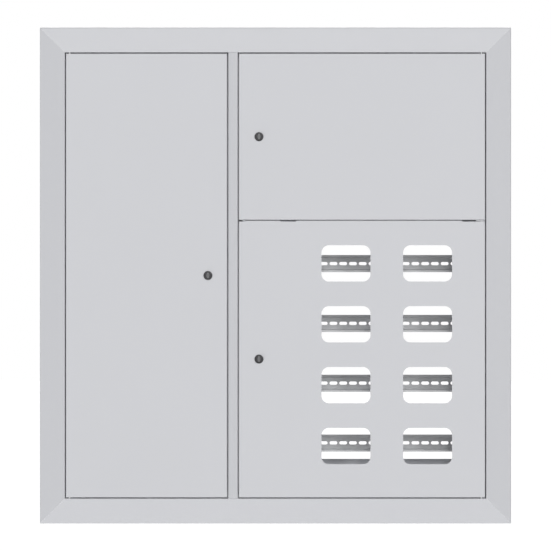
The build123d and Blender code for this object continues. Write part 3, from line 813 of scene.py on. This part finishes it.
def make_hinge_pins(material):
    """Headed pins through the frame, and the plain pin between the right-hand doors."""
    shape = as_data(headed_pin_mesh())
    parts = []
    for low, high in loose_boxes("frame_hinge_pins"):
        upward = 1 if low.z > 0 else -1
        seat = (high.z - pin_head_height) if upward > 0 else (low.z + pin_head_height)
        place = ((low.x + high.x) / 2, (low.y + high.y) / 2, seat)
        parts.append((shape, towards((0, 0, upward), place)))
    new_piece("headed_pins", gather(parts), material, "carcass", "zinc_fastener", "frame_hinge_pins")
    low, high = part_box("centre_hinge_pin")
    plain = as_data(plain_pin_mesh((high.z - low.z) / 2))
    mesh = gather([(plain, Matrix.Translation((low + high) / 2))])
    new_piece("middle_pin", mesh, material, "carcass", "zinc_fastener", "centre_hinge_pin")


def insulator_mesh():
    """Round standoff with soft ribs and a screw hole from above."""
    ribs_low = 0.001
    ribs_high = insulator_height - ribs_low
    rings = [(0, insulator_end_radius), (0.0006, insulator_radius)]
    for row in range(rib_rows + 1):
        along = row / rib_rows
        swell = 0.5 - 0.5 * math.cos(2 * math.pi * rib_count * along)
        height = ribs_low + (ribs_high - ribs_low) * along
        rings.append((height, insulator_radius + rib_rise * swell ** 0.6))
    rings += [(insulator_height - 0.0006, insulator_radius), (insulator_height, insulator_end_radius)]
    rings += [(insulator_height, insulator_hole), (insulator_height / 2, insulator_hole)]
    rings += [(insulator_height / 2, 0.0004)]
    return ring_mesh(rings, segments=48)


def make_insulators(material):
    """Ribbed standoff insulators under the neutral bar."""
    shape = as_data(insulator_mesh())
    parts = []
    for low, high in loose_boxes("neutral_insulators"):
        seat = ((low.x + high.x) / 2, (low.y + high.y) / 2, low.z)
        parts.append((shape, Matrix.Translation(seat)))
    mesh = gather(parts)
    new_piece("ribbed_insulators", mesh, material, "carcass", "insulator_plastic", "neutral_insulators")


def make_slotted_plate(material):
    """Mounting plate with three columns of long slots cut through its raised face."""
    node = "comms_mounting_plate"
    low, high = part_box(node)
    plate = bmesh.new()
    plate.from_mesh(nodes[node].data)
    bmesh.ops.remove_doubles(plate, verts=plate.verts, dist=weld_distance)
    rim = slot_reach(plate_slot_half_width, plate_slot_half_length)
    cutter = as_data(ring_mesh([(-plate_slot_reach, rim), (plate_slot_reach, rim)], segments=120))
    pitch = (high.z - low.z) / plate_slot_rows
    places = []
    for column in (-1, 0, 1):
        for row in range(plate_slot_rows):
            x = (low.x + high.x) / 2 + column * plate_slot_spacing
            middle = (x, low.y, low.z + pitch * (row + 0.5))
            places.append((cutter, towards((0, -1, 0), middle, turn=math.pi / 2)))
    cut = cut_away(plate, gather(places))
    mesh = gather([(cut, Matrix.Identity(4))])
    new_piece("slotted_plate", mesh, material, "carcass", "zinc_sheet", node)


def make_small_pieces(coats):
    """Every piece whose fine form is made here."""
    fasteners = coats["zinc_fastener"]
    make_mounting_screws(fasteners)
    make_bar_screws(fasteners)
    make_cam_screws(fasteners)
    make_lock_nuts(fasteners)
    make_earth_studs(fasteners)
    make_hinge_pins(fasteners)
    make_lock_bodies(coats["lock_black"])
    make_lock_cores(coats)
    make_insulators(coats["insulator_plastic"])
    make_slotted_plate(coats["zinc_sheet"])


def dress(name, material):
    """Gives a CAD node its material."""
    piece = nodes[name]
    piece.data.materials.clear()
    piece.data.materials.append(material)


def dress_all():
    """Gives every CAD node its material and returns the materials by slot."""
    coats = {
        "door_paint": powder_coat("door_coat", door_grey),
        "trim_paint": powder_coat("trim_coat", door_grey),
        "carcass_paint": powder_coat("carcass_coat", door_grey),
        "zinc_rail": rolled_zinc("rail_zinc", zinc, 0.36, 0.08),
        "zinc_sheet": galvanised_sheet("sheet_zinc", galvanised),
        "zinc_fastener": turned_metal("fastener_zinc", bright_steel, 0.32),
        "lock_black": plain_coat("lock_black", lock_black, 0.42),
        "brass_bar": turned_metal("bar_brass", brass, 0.30),
        "insulator_plastic": plain_coat("insulator_blue", insulator_blue, 0.40),
    }
    post_coat_painted_shade = powder_coat("post_coat_painted_shade", post_grey_painted_shade)
    for row in frame["record"]["subparts"]:
        name = row["node"]
        slot = row["material_slot"]
        # The side trims and the mullion take the darker grey, which is painted shade on the upright
        # members.
        if name in ("trim_left", "trim_right", "mullion"):
            dress(name, post_coat_painted_shade)
        elif slot == "lock_core":
            low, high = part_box(name)
            centre = (low + high) / 2
            coats[name] = lock_core(name + "_coat", tuple(centre))
            dress(name, coats[name])
        else:
            dress(name, coats[slot])
    return coats


def camera_at_the_photo_place():
    """Camera straight in front of the doors, at the distance that the photo was taken from."""
    data = bpy.data.cameras.new("camera")
    data.sensor_width = sensor_width
    half_picture = picture_side * door_plane_scale / 2
    data.lens = sensor_width / 2 * camera_distance / half_picture
    data.clip_end = 100
    camera = bpy.data.objects.new("camera", data)
    bpy.context.scene.collection.objects.link(camera)
    door_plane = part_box("left_door")[0].y
    camera.location = (0, door_plane - camera_distance, 0)
    camera.rotation_euler = (math.pi / 2, 0, 0)
    bpy.context.scene.camera = camera


def seen_directly(tree):
    """One for rays from the camera, and for glossy and transmitted rays."""
    path = tree.nodes.new("ShaderNodeLightPath")
    seen = larger(tree, path.outputs["Is Camera Ray"], path.outputs["Is Glossy Ray"])
    return larger(tree, seen, path.outputs["Is Transmission Ray"])


def make_world():
    """White to the camera, and an even pale light on the object."""
    world = bpy.data.worlds.new("world")
    bpy.context.scene.world = world
    world.use_nodes = True
    tree = world.node_tree
    tree.nodes.clear()
    white = add_node(tree, "ShaderNodeBackground", Color=(1, 1, 1, 1), Strength=1.0)
    pale = add_node(tree, "ShaderNodeBackground", Color=(1, 1, 1, 1), Strength=ambient_strength)
    mix = tree.nodes.new("ShaderNodeMixShader")
    output = tree.nodes.new("ShaderNodeOutputWorld")
    tree.links.new(seen_directly(tree), mix.inputs["Fac"])
    tree.links.new(pale.outputs["Background"], mix.inputs[1])
    tree.links.new(white.outputs["Background"], mix.inputs[2])
    tree.links.new(mix.outputs["Shader"], output.inputs["Surface"])


def make_floor():
    """Pale floor well below the board, open from underneath."""
    height = cad_low.z - floor_drop
    mesh = bpy.data.meshes.new("floor")
    around = [(-1, -1), (1, -1), (1, 1), (-1, 1)]
    corners = [(x * floor_half, y * floor_half, height) for x, y in around]
    mesh.from_pydata(corners, [], [(0, 1, 2, 3)])
    floor = bpy.data.objects.new("floor", mesh)
    bpy.context.scene.collection.objects.link(floor)
    material, tree, surface = new_material("floor")
    surface.inputs["Roughness"].default_value = 0.9
    grain = noise(tree, place_vector(tree), scale=40.0, detail=3.0)
    tone = blend_colours(tree, grain, (0.86, 0.86, 0.86), (0.9, 0.9, 0.9))
    tree.links.new(tone, surface.inputs["Base Color"])
    glow = add_node(tree, "ShaderNodeEmission", Color=(1, 1, 1, 1), Strength=floor_glow)
    seen = tree.nodes.new("ShaderNodeMixShader")
    share = tree.nodes.new("ShaderNodeMath")
    share.operation = "MULTIPLY"
    share.inputs[1].default_value = floor_glow_share
    tree.links.new(seen_directly(tree), share.inputs[0])
    tree.links.new(share.outputs["Value"], seen.inputs["Fac"])
    tree.links.new(surface.outputs["BSDF"], seen.inputs[1])
    tree.links.new(glow.outputs["Emission"], seen.inputs[2])
    clear = tree.nodes.new("ShaderNodeBsdfTransparent")
    side = tree.nodes.new("ShaderNodeNewGeometry")
    both = tree.nodes.new("ShaderNodeMixShader")
    tree.links.new(side.outputs["Backfacing"], both.inputs["Fac"])
    tree.links.new(seen.outputs["Shader"], both.inputs[1])
    tree.links.new(clear.outputs["BSDF"], both.inputs[2])
    tree.links.new(both.outputs["Shader"], tree.nodes["Material Output"].inputs["Surface"])
    mesh.materials.append(material)
    floor.visible_shadow = False


def far_lamp(name, azimuth, elevation, width, power):
    """Broad distant lamp. Azimuth 0 is in front of the doors, and positive is to the right."""
    data = bpy.data.lights.new(name, "SUN")
    data.angle = math.radians(width)
    data.energy = power
    side = math.radians(azimuth)
    up = math.radians(elevation)
    from_board = Vector((math.sin(side) * math.cos(up), -math.cos(side) * math.cos(up), math.sin(up)))
    lamp = bpy.data.objects.new(name, data)
    lamp.rotation_mode = "QUATERNION"
    lamp.rotation_quaternion = (-from_board).to_track_quat("-Z", "Y")
    lamp.location = from_board * 3
    bpy.context.scene.collection.objects.link(lamp)


def make_lamps():
    for number, lamp in enumerate(key_lamps, start=1):
        far_lamp(f"key_{number}", *lamp)
    far_lamp("low_fill", *low_lamp)
    far_lamp("back_fill", *back_lamp)


make_small_pieces(dress_all())
camera_at_the_photo_place()
make_world()
make_floor()
make_lamps()
bpy.context.scene.view_settings.view_transform = "Standard"
